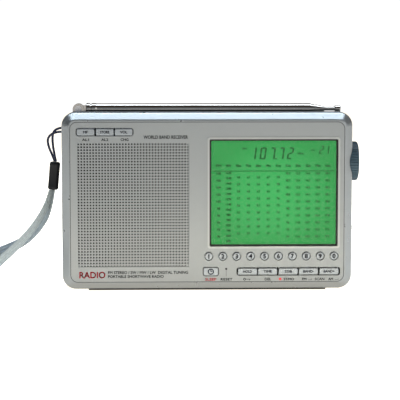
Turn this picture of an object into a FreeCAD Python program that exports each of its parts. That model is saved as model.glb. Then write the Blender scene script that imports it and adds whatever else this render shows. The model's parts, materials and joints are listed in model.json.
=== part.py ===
import FreeCAD, Part
import math
import os

# Portable world-band radio, standing upright on its foot pad.
# X runs to the right, Y to the back, Z up. The origin is the centre of the foot pad's underside.

V = FreeCAD.Vector

# Driving dimensions, in millimetres
WIDTH = 166.0
DEPTH = 28.5
CASE_BOTTOM = 0.6
CASE_TOP = 102.0
LEDGE_Z = 99.4
LIP_BACK_Y = -1.0
LIP_NOTCH = (32.5, 33.9, 101.2)
CORNER_R = 8.0
BEVEL = 4.2
WALL = 2.2
RUNNING_FIT = 0.05
GAP = 0.4

FRONT_Y = -DEPTH / 2
BACK_Y = DEPTH / 2
SIDE_X = WIDTH / 2
WALL_FRONT_Y = FRONT_Y + 1.2
INSIDE_FRONT_Y = -12.0
INSIDE_X = SIDE_X - WALL
INSIDE_BOTTOM = CASE_BOTTOM + WALL
INSIDE_TOP = LEDGE_Z - WALL
INSIDE_BACK_Y = BACK_Y - 2.0

# Face panel and what it carries: (x0, x1, z0, z1)
PANEL = (-78.0, 78.0, 5.2, 96.5)
GRILLE = (-75.0, -10.0, 13.0, 85.4)
BEZEL_OUTER = (0.05, 75.55, 24.35, 87.85)
BEZEL_INNER = (1.15, 74.45, 25.45, 86.75)
DISPLAY_VIEW = (2.2, 73.4, 26.5, 85.7)
FUNCTION_SLOT = (16.6, 76.0, 8.6, 13.6)
TOP_SLOT = (-74.6, -41.9, 88.5, 93.3)
RESET_HOLE = (10.7, 12.6, 0.6)
PANEL_CORNER_R = 4.0
GRILLE_CORNER_R = 2.0
BEZEL_CORNER_R = 1.5
WINDOW_CORNER_R = 0.8
WINDOW_THICKNESS = 1.3

# Keys
NUMBER_KEY_R = 2.1
NUMBER_HOLE_R = 2.62
NUMBER_KEY_X0 = 0.74
NUMBER_KEY_PITCH = 7.96
NUMBER_KEY_Z = 19.9
POWER_KEY = (1.9, 11.1, 8.4, 4.6)
FUNCTION_KEY_X = (22.9, 34.4, 46.2, 57.8, 69.6)
FUNCTION_KEY_SIZE = (10.9, 3.6)
TOP_KEY_X = (-69.1, -58.2, -47.5)
TOP_KEY_SIZE = (10.0, 3.6)
KEY_FRONT_Y = FRONT_Y - 0.45
KEY_EDGE_R = 0.35
KEY_FLANGE = 0.6
BOARD_PAD_Y = -8.2

# Loudspeaker
SPEAKER_X = -42.4
SPEAKER_Z = 53.0
SPEAKER_R = 27.0
SPEAKER_FRONT_Y = -11.6
MAGNET_R = 13.0

# Battery compartment for four AA cells, its door and the folding stand
CELL_R = 7.1
CELL_LENGTH = 50.5
CELL_Y = 4.1
CELL_ROWS_Z = (12.75, 27.25)
BAY = (-56.0, 56.0, 4.5, 35.5)
BAY_FRONT_Y = -4.0
DOOR_PIN_Y = 13.0
DOOR_PIN_Z = 6.2
DOOR_BARREL_R = 1.25
STAND_RECESS = (-36.0, 36.0, 39.0, 89.0)
STAND_FLOOR_Y = 12.0
STAND_PIN_Y = 13.25
STAND_PIN_Z = 41.4
STAND_PIN_R = 0.7
DOOR_PIN_R = 0.8
TERMINAL_X = 55.55

# Controls on the right side
KNOB_R = 11.3
KNOB_Y = 0.0
KNOB_Z = 73.3
KNOB_OUT = 4.0
SHAFT_R = 3.0
PIVOT_POST_R = 1.5
POCKET_FLOOR_X = 79.0
WHEEL_R = 7.0
WHEEL_X = SIDE_X + 0.75 - WHEEL_R
WHEEL_Z = 35.1
WHEEL_Y = (-5.0, -1.8)
SWITCH_Z = 18.5
SWITCH_TRAVEL = 2.5

# Sockets on the left side
JACK_Y = -4.0
JACK_Z = (75.0, 65.0, 55.0)
JACK_BORE_R = 1.8
JACK_LENGTH = 14.0
POWER_JACK_Z = 43.5
JACK_PANEL_Y = (-8.4, -0.3)
JACK_PANEL_Z = (38.4, 79.6)
JACK_FLANGE = 0.8
POWER_BARREL_R = 3.6
POWER_BORE_R = 2.75
POWER_PIN_R = 0.85

# Telescopic aerial, folded along the top
AERIAL_Y = 4.0
AERIAL_Z = 103.3
AERIAL_PIVOT_X = -73.8
AERIAL_RADII = (3.15, 2.70, 2.30, 1.90, 1.50)
AERIAL_BORES = (2.75, 2.35, 1.95, 1.55, 1.15)
AERIAL_ENDS = (60.0, 62.0, 64.0, 66.0, 68.0)
AERIAL_TIP = (74.0, 77.5)
TURRET_R = 2.6
TURRET_EAR_R = 3.2
PIVOT_SCREW_R = 1.0

# Screws that close the case, each at its (x, z)
SCREW_R = 1.0
SCREW_HEAD_R = 2.2
SCREW_HEAD_Y = 8.0
SCREW_POST_R = 3.2
SCREWS = ((-76.0, 7.0), (76.0, 7.0), (76.0, 92.5), (-60.0, 92.5), (6.0, 92.5))

# Wrist strap. Each route is a list of (x, y, z) points joined by tangent arcs.
STRAP_PIN = (-81.3, 4.4, 91.4)
STRAP_PIN_R = 0.6
CORD_R = 0.7
SLEEVE_WIDTH = 6.2
SLEEVE_DEPTH = 5.2
SLEEVE_TOP = (-87.5, 4.4, 72.8)
SLEEVE_BOTTOM = (-88.9, 4.4, 56.7)
CORD_ROUTE = (
    (-87.8, 5.4, 73.0), (-89.3, 5.4, 77.0), (-91.2, 5.4, 81.2), (-92.0, 5.3, 86.0), (-89.6, 5.2, 89.0),
    (-85.6, 5.2, 90.2), (-79.85, 5.2, 90.0), (-79.85, 3.6, 92.8), (-85.2, 3.6, 92.4), (-88.3, 3.5, 90.6),
    (-89.0, 3.5, 86.4), (-88.4, 3.5, 80.0), (-87.0, 3.5, 73.0),
)
WEBBING_R = 1.1
WEBBING_ROUTE = (
    (-89.6, 2.9, 56.6), (-92.0, 2.7, 48.0), (-97.0, 2.3, 39.4), (-103.6, 1.4, 30.6), (-111.5, -0.4, 22.8),
    (-120.5, -3.4, 15.0), (-131.0, -6.6, 6.4), (-144.5, -8.4, 1.3), (-162.0, -8.8, 1.3),
    (-177.0, -4.2, 1.3), (-179.3, 8.0, 1.3), (-168.5, 15.0, 2.0), (-154.0, 13.6, 6.6),
    (-140.0, 11.6, 12.6), (-127.0, 9.8, 17.4),
    (-114.4, 8.6, 22.0), (-104.2, 7.8, 27.4), (-96.2, 7.2, 35.6), (-90.8, 6.6, 45.0), (-88.6, 6.0, 56.6),
)


def box(x0, x1, y0, y1, z0, z1):
    return Part.makeBox(x1 - x0, y1 - y0, z1 - z0, V(x0, y0, z0))


def rod_x(y, z, r, x0, x1):
    return Part.makeCylinder(r, x1 - x0, V(x0, y, z), V(1, 0, 0))


def rod_y(x, z, r, y0, y1):
    return Part.makeCylinder(r, y1 - y0, V(x, y0, z), V(0, 1, 0))


def rod_z(x, y, r, z0, z1):
    return Part.makeCylinder(r, z1 - z0, V(x, y, z0), V(0, 0, 1))


def rounded_plate(area, r, y0, y1):
    """A plate in the XZ plane with round corners, from y0 to y1."""
    x0, x1, z0, z1 = area
    k = r * (1 - math.sqrt(0.5))

    def line(a, b):
        return Part.LineSegment(V(a[0], y0, a[1]), V(b[0], y0, b[1])).toShape()

    def arc(a, m, b):
        return Part.Arc(V(a[0], y0, a[1]), V(m[0], y0, m[1]), V(b[0], y0, b[1])).toShape()

    edges = [
        line((x0 + r, z0), (x1 - r, z0)),
        arc((x1 - r, z0), (x1 - k, z0 + k), (x1, z0 + r)),
        line((x1, z0 + r), (x1, z1 - r)),
        arc((x1, z1 - r), (x1 - k, z1 - k), (x1 - r, z1)),
        line((x1 - r, z1), (x0 + r, z1)),
        arc((x0 + r, z1), (x0 + k, z1 - k), (x0, z1 - r)),
        line((x0, z1 - r), (x0, z0 + r)),
        arc((x0, z0 + r), (x0 + k, z0 + k), (x0 + r, z0)),
    ]
    return Part.Face(Part.Wire(edges)).extrude(V(0, y1 - y0, 0))


def turned_y(profile, x, z):
    """A solid turned about a line along Y; the profile is (radius, y) points."""
    points = [V(x + r, y, z) for r, y in profile]
    face = Part.Face(Part.makePolygon(points + points[:1]))
    return face.revolve(V(x, 0, z), V(0, 1, 0), 360)


def turned_x(profile, y, z):
    """A solid turned about a line along X; the profile is (x, radius) points."""
    points = [V(x, y, z + r) for x, r in profile]
    face = Part.Face(Part.makePolygon(points + points[:1]))
    return face.revolve(V(0, y, z), V(1, 0, 0), 360)


def edges_at_y(shape, y):
    return [e for e in shape.Edges if abs(e.BoundBox.YMin - y) < 1e-4 and abs(e.BoundBox.YMax - y) < 1e-4]


def save(name, *solids):
    shape = solids[0] if len(solids) == 1 else Part.makeCompound(list(solids))
    if len(shape.Solids) == 1:
        shape = shape.Solids[0]
    print(f"{name:22s} solids {len(shape.Solids):2d} valid {shape.isValid()} volume {shape.Volume:9.1f}")
    shape.exportStep(f"parts/{name}.step")


def grown(area, by):
    return (area[0] - by, area[1] + by, area[2] - by, area[3] + by)


def key_centres():
    """Every key as (name, x, z, width, height); a round key has height 0 and width as its diameter."""
    keys = []
    for i in range(10):
        x = NUMBER_KEY_X0 + i * NUMBER_KEY_PITCH
        keys.append((f"key_{(i + 1) % 10}", x, NUMBER_KEY_Z, 2 * NUMBER_KEY_R, 0))
    keys.append(("key_power",) + POWER_KEY)
    slot_z = (FUNCTION_SLOT[2] + FUNCTION_SLOT[3]) / 2
    for name, x in zip(("hold", "time", "sideband", "band_down", "band_up"), FUNCTION_KEY_X):
        keys.append((f"key_{name}", x, slot_z) + FUNCTION_KEY_SIZE)
    slot_z = (TOP_SLOT[2] + TOP_SLOT[3]) / 2
    for name, x in zip(("mode", "store", "volume"), TOP_KEY_X):
        keys.append((f"key_{name}", x, slot_z) + TOP_KEY_SIZE)
    return keys


def front_openings(y0, y1):
    """Cutters for the keys, slots and display through the face panel and the wall behind it."""
    cutters = [rod_y(x, z, NUMBER_HOLE_R, y0, y1) for _, x, z, _, h in key_centres() if h == 0]
    x, z, w, h = POWER_KEY
    power_hole = grown((x - w / 2, x + w / 2, z - h / 2, z + h / 2), GAP)
    cutters.append(rounded_plate(power_hole, 1.2, y0, y1))
    cutters.append(rounded_plate(FUNCTION_SLOT, 1.6, y0, y1))
    cutters.append(rounded_plate(TOP_SLOT, 1.6, y0, y1))
    return cutters


def case_outline(y0, y1):
    return rounded_plate((-SIDE_X, SIDE_X, CASE_BOTTOM, CASE_TOP), CORNER_R, y0, y1)


def knob_boss():
    return rod_x(KNOB_Y, KNOB_Z, KNOB_R + 2.0, POCKET_FLOOR_X - 2.0, SIDE_X + 1)


def knob_pocket():
    pocket = rod_x(KNOB_Y, KNOB_Z, KNOB_R + 0.5, POCKET_FLOOR_X, SIDE_X + 1)
    return pocket.fuse(rod_x(KNOB_Y, KNOB_Z, 4.0, POCKET_FLOOR_X - 3, POCKET_FLOOR_X + 1))


def screw_posts(y0, y1):
    """Round posts beside the case walls, one for each screw."""
    posts = []
    for x, z in SCREWS:
        posts.append(rod_y(x, z, SCREW_POST_R, y0, y1))
        wall_z = INSIDE_BOTTOM - 0.5 if z < CASE_TOP / 2 else INSIDE_TOP + 0.5
        posts.append(box(x - SCREW_POST_R, x + SCREW_POST_R, y0, y1, min(z, wall_z), max(z, wall_z)))
        if abs(x) > INSIDE_X - 6:
            wall_x = math.copysign(INSIDE_X + 0.5, x)
            x0, x1 = sorted((x, wall_x))
            posts.append(box(x0, x1, y0, y1, z - SCREW_POST_R, z + SCREW_POST_R))
    return posts


def aerial_channel():
    """Everything above the ledge that the folded aerial lies on, behind the front lip."""
    return box(-SIDE_X - 1, SIDE_X + 1, LIP_BACK_Y, BACK_Y + 1, LEDGE_Z, CASE_TOP + 5)


def front_cabinet():
    shell = case_outline(FRONT_Y, 0)
    shell = shell.makeChamfer(BEVEL, edges_at_y(shell, FRONT_Y))
    shell = shell.makeFillet(3.0, edges_at_y(shell, FRONT_Y + BEVEL))
    shell = shell.makeFillet(1.2, edges_at_y(shell, FRONT_Y))
    front_room = rounded_plate((-77.0, 77.0, 6.5, 95.6), 5.0, INSIDE_FRONT_Y, -9.4)
    main_room = rounded_plate((-INSIDE_X, INSIDE_X, INSIDE_BOTTOM, INSIDE_TOP), CORNER_R - WALL, -9.5, 1)
    room = front_room.fuse(main_room).cut(knob_boss())
    shell = shell.cut(room)
    panel_pocket = rounded_plate(PANEL, PANEL_CORNER_R, FRONT_Y - 1, WALL_FRONT_Y)
    grille_window = rounded_plate(grown(GRILLE, -0.8), GRILLE_CORNER_R, FRONT_Y, INSIDE_FRONT_Y + 1)
    display_window = rounded_plate(BEZEL_INNER, WINDOW_CORNER_R, FRONT_Y, INSIDE_FRONT_Y + 1)
    reset_x, reset_z, reset_r = RESET_HOLE
    wheel_slot = rod_y(WHEEL_X, WHEEL_Z, WHEEL_R + GAP, WHEEL_Y[0] - GAP, WHEEL_Y[1] + GAP)
    switch_z0, switch_z1 = SWITCH_Z, SWITCH_Z + SWITCH_TRAVEL
    switch_pocket = box(SIDE_X - 1.1, SIDE_X + 1, -6.2, -1.0, switch_z0 - 2.9, switch_z1 + 2.9)
    switch_slot = box(INSIDE_X - 1, SIDE_X, -4.6, -2.6, switch_z0 - 1.2, switch_z1 + 1.2)
    reset_hole = rod_y(reset_x, reset_z, reset_r, FRONT_Y, INSIDE_FRONT_Y + 1)
    notch_x0, notch_x1, notch_z = LIP_NOTCH
    lip_notch = box(notch_x0, notch_x1, LIP_BACK_Y - 1.2, LIP_BACK_Y + 1, notch_z, CASE_TOP + 1)
    cutters = [panel_pocket, grille_window, display_window, knob_pocket(), wheel_slot, switch_pocket]
    cutters += [switch_slot, aerial_channel(), lip_notch, reset_hole]
    cutters += front_openings(FRONT_Y - 1, INSIDE_FRONT_Y + 1)
    cutters.append(box(-SIDE_X - 1, -INSIDE_X + 1, *JACK_PANEL_Y, *JACK_PANEL_Z))
    shell = shell.cut(Part.makeCompound(cutters))
    shell = shell.fuse(screw_posts(-6.3, 0)).removeSplitter()
    return shell.cut([rod_y(x, z, SCREW_R + RUNNING_FIT, -5.8, 1) for x, z in SCREWS])


def rear_cabinet():
    shell = case_outline(0, BACK_Y)
    shell = shell.makeFillet(3.0, edges_at_y(shell, BACK_Y))
    x0, x1, z0, z1 = BAY
    bay_walls = box(x0 - 1.5, x1 + 1.5, BAY_FRONT_Y - 1.5, INSIDE_BACK_Y + 1, INSIDE_BOTTOM + 0.1, z1 + 1.5)
    stand_walls = box(-38.0, 38.0, STAND_FLOOR_Y - 1.8, INSIDE_BACK_Y + 1, z1 + 1.0, 91.0)
    strap_boss = box(-SIDE_X + 1, -78.2, 0, 9.0, 86.5, INSIDE_TOP + 1)
    inside = (-INSIDE_X, INSIDE_X, INSIDE_BOTTOM, INSIDE_TOP)
    room = rounded_plate(inside, CORNER_R - WALL, -1, INSIDE_BACK_Y)
    shell = shell.cut(room.cut(Part.makeCompound([stand_walls, strap_boss, knob_boss()])))
    shell = shell.fuse([bay_walls] + screw_posts(0, INSIDE_BACK_Y + 1)).removeSplitter()
    bay = box(x0, x1, BAY_FRONT_Y, BACK_Y + 1, z0, z1)
    stand_recess = rounded_plate(STAND_RECESS, 1.5, STAND_FLOOR_Y, BACK_Y + 1)
    strap_pocket = box(-SIDE_X - 1, -79.0, 2.4, 6.4, 88.0, 94.6)
    strap_pin_hole = rod_y(STRAP_PIN[0], STRAP_PIN[2], STRAP_PIN_R + RUNNING_FIT, 0.8, 8.0)
    turret_hole = rod_z(AERIAL_PIVOT_X, AERIAL_Y, TURRET_R + RUNNING_FIT, INSIDE_TOP - 2, LEDGE_Z + 1)
    door_pins = rod_x(DOOR_PIN_Y, DOOR_PIN_Z, DOOR_PIN_R + RUNNING_FIT, x0 - 1.3, x1 + 1.3)
    stand_pins = rod_x(STAND_PIN_Y, STAND_PIN_Z, STAND_PIN_R + RUNNING_FIT, -37.3, 37.3)
    cutters = [bay, stand_recess, strap_pocket, strap_pin_hole, turret_hole, door_pins, stand_pins]
    cutters += [knob_pocket(), aerial_channel()]
    for x, z in SCREWS:
        cutters.append(rod_y(x, z, SCREW_R + 0.25, -1, 9))
        cutters.append(rod_y(x, z, SCREW_HEAD_R + 0.3, SCREW_HEAD_Y, BACK_Y + 1))
    return shell.cut(Part.makeCompound(cutters))


def face_panel():
    plate = rounded_plate(PANEL, PANEL_CORNER_R, FRONT_Y, WALL_FRONT_Y)
    reset_x, reset_z, reset_r = RESET_HOLE
    cutters = front_openings(FRONT_Y - 1, WALL_FRONT_Y + 1)
    cutters.append(rounded_plate(GRILLE, GRILLE_CORNER_R, FRONT_Y - 1, WALL_FRONT_Y + 1))
    cutters.append(rounded_plate(BEZEL_OUTER, BEZEL_CORNER_R, FRONT_Y - 1, WALL_FRONT_Y + 1))
    cutters.append(rod_y(reset_x, reset_z, reset_r, FRONT_Y - 1, WALL_FRONT_Y + 1))
    return plate.cut(Part.makeCompound(cutters))


def speaker_grille():
    """The sound holes, at every second place of the fine pattern."""
    columns, rows, hole_r = 19, 22, 0.6
    plate = rounded_plate(GRILLE, GRILLE_CORNER_R, FRONT_Y, WALL_FRONT_Y)
    face = next(f for f in plate.Faces if abs(f.CenterOfMass.y - FRONT_Y) < 1e-6)
    pitch_x = (GRILLE[1] - GRILLE[0] - 4.2) / (columns - 1)
    pitch_z = (GRILLE[3] - GRILLE[2] - 2.7) / (rows - 1)
    holes = []
    for i in range(columns):
        for j in range(rows):
            centre = V(GRILLE[0] + 2.1 + i * pitch_x, FRONT_Y, GRILLE[2] + 1.35 + j * pitch_z)
            holes.append(Part.Wire([Part.Circle(centre, V(0, 1, 0), hole_r).toShape()]))
    perforated = Part.Face(face.OuterWire)
    perforated.cutHoles(holes)
    return perforated.extrude(V(0, WALL_FRONT_Y - FRONT_Y, 0))


def display_parts():
    bezel = rounded_plate(BEZEL_OUTER, BEZEL_CORNER_R, FRONT_Y - 0.3, WALL_FRONT_Y)
    bezel = bezel.cut(rounded_plate(BEZEL_INNER, WINDOW_CORNER_R, FRONT_Y - 1, WALL_FRONT_Y + 1))
    save("display_bezel", bezel)
    inner = grown(BEZEL_INNER, -0.05)
    window_back_y = FRONT_Y + WINDOW_THICKNESS
    save("display_window", rounded_plate(inner, 0.7, FRONT_Y - 0.1, window_back_y))
    mask = rounded_plate(inner, 0.7, window_back_y, INSIDE_FRONT_Y)
    save("display_mask", mask.cut(rounded_plate(DISPLAY_VIEW, 0.3, FRONT_Y, INSIDE_FRONT_Y + 1)))
    save("lcd_glass", box(0.2, 75.4, INSIDE_FRONT_Y, -10.2, 25.0, 87.6))
    save("backlight_panel", box(1.0, 74.6, -10.2, -8.7, 25.4, 87.2))


def speaker_parts():
    frame = [
        (SPEAKER_R, SPEAKER_FRONT_Y), (SPEAKER_R, -10.4), (26.0, -10.4), (14.5, -5.9), (14.5, -4.6),
        (5.0, -4.6), (5.0, -5.6), (13.6, -5.6), (13.6, -6.5), (24.9, -10.9), (24.9, SPEAKER_FRONT_Y),
    ]
    basket = turned_y(frame, SPEAKER_X, SPEAKER_Z)
    magnet = rod_y(SPEAKER_X, SPEAKER_Z, MAGNET_R, -4.6, 3.4)
    save("speaker_frame", basket, magnet, rod_y(SPEAKER_X, SPEAKER_Z, 9.5, 3.4, 4.4))
    cone = [
        (24.7, -11.4), (24.7, -11.0), (23.0, -10.8), (21.6, -10.3), (8.0, -6.9),
        (0, -6.9), (0, -8.9), (4.0, -8.5), (8.0, -7.5), (21.6, -11.0), (23.0, -11.5),
    ]
    save("speaker_cone", turned_y(cone, SPEAKER_X, SPEAKER_Z))


def board(area, y0, y1, holes):
    plate = box(area[0], area[1], y0, y1, area[2], area[3])
    return plate.cut([rod_y(x, z, 1.6, y0 - 1, y1 + 1) for x, z in holes])


def main_board_parts():
    area = (-8.0, 69.5, 40.0, 80.0)
    corners = [(area[0] + 3.5, 43.5), (area[1] - 3.5, 43.5), (area[0] + 3.5, 76.5), (area[1] - 3.5, 76.5)]
    shields = [box(4.0, 24.0, 3.4, 8.4, 47.0, 63.0), box(40.0, 60.0, 3.4, 7.4, 46.0, 58.0)]
    chips = [box(29.0 + 13 * i, 37.0 + 13 * i, 3.4, 4.9, 65.0, 73.0) for i in range(3)]
    cans = [rod_y(-2.0 + 8.5 * i, 70.0, 2.6, 3.4, 9.2) for i in range(3)]
    coils = [box(29.0, 35.0, 3.4, 9.0, 44.0 + 8 * i, 50.0 + 8 * i) for i in range(2)]
    save("main_board", board(area, 2.0, 3.4, corners), *(shields + chips + cans + coils))
    rod = rod_x(6.5, 84.5, 2.5, -24.0, 66.0)
    winding = rod_x(6.5, 84.5, 3.2, -14.0, 6.0).cut(rod_x(6.5, 84.5, 2.5, -15.0, 7.0))
    save("ferrite_aerial", rod, winding, winding.translated(V(50, 0, 0)))


def key_support_parts():
    lower = (-3.4, 78.0, 5.9, 23.7)
    upper = (-77.0, -38.0, 85.6, 95.4)
    display = (-0.5, 76.5, 24.6, 88.6)
    boards = [board(lower, BOARD_PAD_Y, -6.8, [(14.0, 16.2)])]
    boards.append(board(upper, BOARD_PAD_Y, -6.8, [(-40.5, 90.9)]))
    boards.append(board(display, -8.7, -7.2, [(4.0, 30.0), (72.0, 30.0)]))
    save("control_boards", *boards)
    pads = []
    for area in (lower, upper):
        plate = box(area[0] + 0.6, area[1] - 0.6, -8.8, BOARD_PAD_Y, area[2] + 0.6, area[3] - 0.6)
        for _, x, z, _, _ in key_centres():
            if area[0] < x < area[1] and area[2] < z < area[3]:
                plate = plate.fuse(Part.makeCone(1.9, 1.3, 1.0, V(x, -8.7, z), V(0, -1, 0)))
        pads.append(plate)
    save("keypad_rubber", *pads)


def key(x, z, w, h):
    """A key cap with the flange that keeps it behind the wall and the stem that meets the rubber dome."""
    flange_y = INSIDE_FRONT_Y + 0.35
    stem = rod_y(x, z, 1.2, flange_y + 0.5, -10.45)
    if h == 0:
        cap = rod_y(x, z, w / 2, KEY_FRONT_Y, flange_y)
        cap = cap.makeFillet(KEY_EDGE_R, edges_at_y(cap, KEY_FRONT_Y))
        flange = rod_y(x, z, w / 2 + 1.2, flange_y, flange_y + KEY_FLANGE)
    else:
        area = (x - w / 2, x + w / 2, z - h / 2, z + h / 2)
        cap = rounded_plate(area, 0.9, KEY_FRONT_Y, flange_y)
        cap = cap.makeFillet(KEY_EDGE_R, edges_at_y(cap, KEY_FRONT_Y))
        tall = (area[0], area[1], area[2] - 1.3, area[3] + 1.3)
        flange = rounded_plate(tall, 0.5, flange_y, flange_y + KEY_FLANGE)
    return cap.fuse([flange, stem]).removeSplitter()


def tuning_parts():
    ribs, rib_r = 44, 0.42
    outer_x = SIDE_X + KNOB_OUT
    inner_x = POCKET_FLOOR_X + GAP
    knob = rod_x(KNOB_Y, KNOB_Z, KNOB_R, inner_x, outer_x)
    rim = [e for e in knob.Edges if abs(e.BoundBox.XMin - outer_x) < 1e-4]
    knob = knob.makeFillet(1.3, rim)
    grooves = []
    for i in range(ribs):
        a = 2 * math.pi * i / ribs
        y = KNOB_Y + KNOB_R * math.cos(a)
        z = KNOB_Z + KNOB_R * math.sin(a)
        grooves.append(rod_x(y, z, rib_r, inner_x - 1, outer_x + 1))
    dish = Part.makeSphere(9.0, V(outer_x + 8.3, KNOB_Y, KNOB_Z + 5.6))
    bore = rod_x(KNOB_Y, KNOB_Z, SHAFT_R + RUNNING_FIT, inner_x - 1, 84.5)
    save("tuning_knob", knob.cut(Part.makeCompound(grooves)).cut([dish, bore]))
    save("tuning_shaft", rod_x(KNOB_Y, KNOB_Z, SHAFT_R, 71.0, 84.3))


def tuning_encoder():
    body = box(70.0, 76.6, KNOB_Y - 4.5, KNOB_Y + 4.5, KNOB_Z - 5.7, KNOB_Z + 5.7)
    body = body.fuse(rod_x(KNOB_Y, KNOB_Z, 3.9, 76.0, POCKET_FLOOR_X))
    return body.cut(rod_x(KNOB_Y, KNOB_Z, SHAFT_R + RUNNING_FIT, 70.9, 80.0))


def side_control_parts():
    teeth = 30
    wheel = rod_y(WHEEL_X, WHEEL_Z, WHEEL_R, WHEEL_Y[0], WHEEL_Y[1])
    notches = []
    for i in range(teeth):
        a = 2 * math.pi * i / teeth
        x = WHEEL_X + (WHEEL_R + 0.1) * math.cos(a)
        z = WHEEL_Z + (WHEEL_R + 0.1) * math.sin(a)
        notches.append(rod_y(x, z, 0.35, WHEEL_Y[0] - 1, WHEEL_Y[1] + 1))
    wheel = wheel.cut(Part.makeCompound(notches)).fuse(rod_y(WHEEL_X, WHEEL_Z, PIVOT_POST_R, -2.0, 2.6))
    save("fine_tune_wheel", wheel)
    pot = box(72.5, 80.0, -1.3, 3.6, WHEEL_Z - 3.7, WHEEL_Z + 3.7)
    pot = pot.cut(rod_y(WHEEL_X, WHEEL_Z, PIVOT_POST_R + RUNNING_FIT, -2.0, 3.0))
    slider_room = box(78.2, 81.0, -4.6, -2.6, SWITCH_Z - 1.2, SWITCH_Z + 1.2 + SWITCH_TRAVEL)
    switch = box(72.0, 79.8, -6.0, -1.2, SWITCH_Z - 6, SWITCH_Z + 6).cut(slider_room)
    save("side_control_bodies", tuning_encoder(), pot, switch)
    knob = box(SIDE_X - 0.8, SIDE_X + 0.6, -5.8, -1.4, SWITCH_Z - 2.5, SWITCH_Z + 2.5)
    grip = [rod_y(SIDE_X + 0.75, SWITCH_Z - 2 + i, 0.35, -7, 0) for i in range(5)]
    stem = box(78.6, SIDE_X - 0.5, -4.2, -3.0, SWITCH_Z - 0.8, SWITCH_Z + 0.8)
    save("sensitivity_switch", knob.cut(grip).fuse(stem))


def jack_parts():
    """A side panel with three sockets moulded to its back and a hole for the power jack."""
    y0, y1 = JACK_PANEL_Y
    z0, z1 = JACK_PANEL_Z
    inside_x = -INSIDE_X + JACK_FLANGE
    fit = RUNNING_FIT
    panel = box(-SIDE_X, inside_x, y0 + fit, y1 - fit, z0 + fit, z1 - fit)
    solids = [box(-INSIDE_X, inside_x, y0 - 0.6, y1 + 0.3, z0 - 0.9, z1 + 0.9)]
    for z in JACK_Z:
        end_x = -SIDE_X + JACK_LENGTH + 1.5
        solids.append(box(inside_x, end_x, JACK_Y - 3.7, JACK_Y + 3.7, z - 3.4, z + 3.4))
    panel = panel.fuse(solids).removeSplitter()
    holes = [rod_x(JACK_Y, z, JACK_BORE_R, -SIDE_X - 1, -SIDE_X + JACK_LENGTH) for z in JACK_Z]
    holes.append(rod_x(JACK_Y, POWER_JACK_Z, POWER_BARREL_R + 0.1, -SIDE_X - 1, inside_x + 1))
    save("jack_panel", panel.cut(holes))
    body_y0, body_y1 = JACK_Y - 4.5, JACK_Y + 4.5
    body = box(inside_x + 0.1, -69.0, body_y0, body_y1, POWER_JACK_Z - 5.0, POWER_JACK_Z + 5.0)
    body = body.fuse(rod_x(JACK_Y, POWER_JACK_Z, POWER_BARREL_R, -SIDE_X + 0.3, inside_x + 1))
    body = body.cut(rod_x(JACK_Y, POWER_JACK_Z, POWER_BORE_R, -SIDE_X - 1, -72.0))
    save("power_jack", body.fuse(rod_x(JACK_Y, POWER_JACK_Z, POWER_PIN_R, -SIDE_X + 1.2, -71.0)))


def cell(positive_x, z, direction):
    """One AA cell whose positive end is at positive_x and faces along direction."""
    body_end = positive_x - direction * 1.2
    nub = rod_x(CELL_Y, z, 2.6, min(body_end, positive_x), max(body_end, positive_x))
    other_end = positive_x - direction * CELL_LENGTH
    body = rod_x(CELL_Y, z, CELL_R, min(body_end, other_end), max(body_end, other_end))
    body = body.makeFillet(0.5, [e for e in body.Edges if e.Closed])
    return body.fuse(nub)


def contact_spring(base_x, z, direction, length):
    coil_r, wire_r, turns = 3.2, 0.35, 5
    helix = Part.makeHelix((length - 2 * wire_r) / turns, length - 2 * wire_r, coil_r)
    start = V(coil_r, 0, 0)
    section = Part.Wire([Part.Circle(start, V(0, 1, 0), wire_r).toShape()])
    coil = Part.Wire(helix).makePipeShell([section], True, True)
    coil.rotate(V(0, 0, 0), V(0, 1, 0), 90 * direction)
    coil.translate(V(base_x + direction * wire_r, CELL_Y, z))
    return coil


def battery_parts():
    cells = []
    contacts = []
    for z, direction in zip(CELL_ROWS_Z, (1, -1)):
        positive_x = direction * (TERMINAL_X - 0.35)
        cells.append(cell(positive_x, z, direction))
        cells.append(cell(positive_x - direction * CELL_LENGTH, z, direction))
        for side in (-1, 1):
            x0, x1 = sorted((side * (TERMINAL_X + 0.4), side * TERMINAL_X))
            contacts.append(box(x0, x1, CELL_Y - 5.0, CELL_Y + 5.0, z - 6.0, z + 6.0))
        dimple_x = sorted((direction * TERMINAL_X, positive_x))
        contacts.append(rod_x(CELL_Y, z, 1.6, *dimple_x))
        spring_room = 2 * TERMINAL_X - 0.35 - 2 * CELL_LENGTH
        contacts.append(contact_spring(-direction * TERMINAL_X, z, direction, spring_room))
    save("batteries", *cells)
    save("battery_contacts", *contacts)


def battery_door():
    width = BAY[1] - GAP
    top = BAY[3] - GAP
    leaf = box(-width, width, BACK_Y - 1.8, BACK_Y, DOOR_PIN_Z, top)
    leaf = leaf.fuse(rod_x(DOOR_PIN_Y, DOOR_PIN_Z, DOOR_BARREL_R, -width, width))
    leaf = leaf.fuse(rod_x(DOOR_PIN_Y, DOOR_PIN_Z, DOOR_PIN_R, -width - 1.4, width + 1.4))
    grooves = [box(-14.0, 14.0, BACK_Y - 0.5, BACK_Y + 1, 26.0 + 2.4 * i, 27.2 + 2.4 * i) for i in range(3)]
    return leaf.cut(grooves)


def stand():
    half = STAND_RECESS[1] - 0.6
    leaf = box(-half, half, STAND_PIN_Y - 0.75, STAND_PIN_Y + 0.75, STAND_PIN_Z, 88.0)
    leaf = leaf.fuse(rod_x(STAND_PIN_Y, STAND_PIN_Z, 0.9, -half, half))
    leaf = leaf.fuse(rod_x(STAND_PIN_Y, STAND_PIN_Z, STAND_PIN_R, -half - 1.6, half + 1.6))
    notch = rod_y(0, 90.0, 7.0, 10, 16)
    return leaf.cut(notch)


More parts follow.
